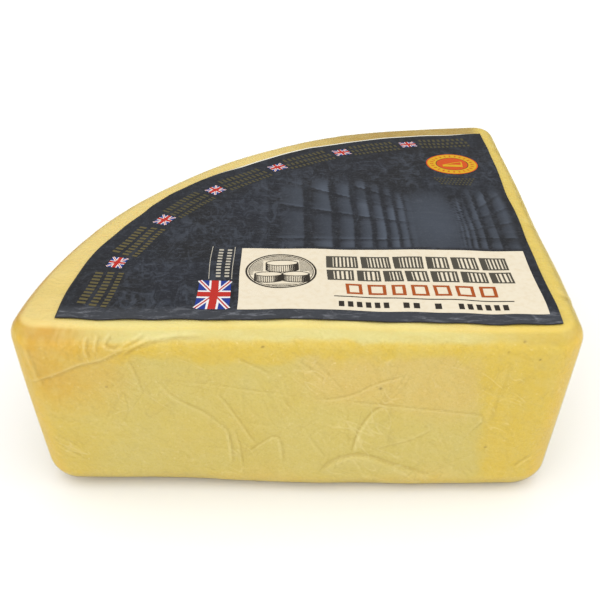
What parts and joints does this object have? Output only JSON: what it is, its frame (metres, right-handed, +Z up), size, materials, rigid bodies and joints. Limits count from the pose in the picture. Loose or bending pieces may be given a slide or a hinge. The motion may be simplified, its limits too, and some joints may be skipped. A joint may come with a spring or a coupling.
{
  "type": "cheddar block",
  "caption": "Quarter of a flat cheddar wheel sealed tight in clear film, with a dark quarter-round printed label on top.",
  "frame": {"origin": "middle of the bounding box at its bottom, on the face the block stands on", "axes": "+Z up, out of the labelled top; the front cut side faces -Y, the other cut side faces +X, and the rind side curves round from -X to +Y"},
  "size_m": [0.1976, 0.1968, 0.0752],
  "materials": {
    "cheese": "waxy cheddar under tight clear film",
    "film": "clear glossy shrink film",
    "label": "printed paper with a thin gloss laminate"
  },
  "bodies": {
    "root": {"cheese": "cheese", "label": "label"}
  },
  "joints": []
}
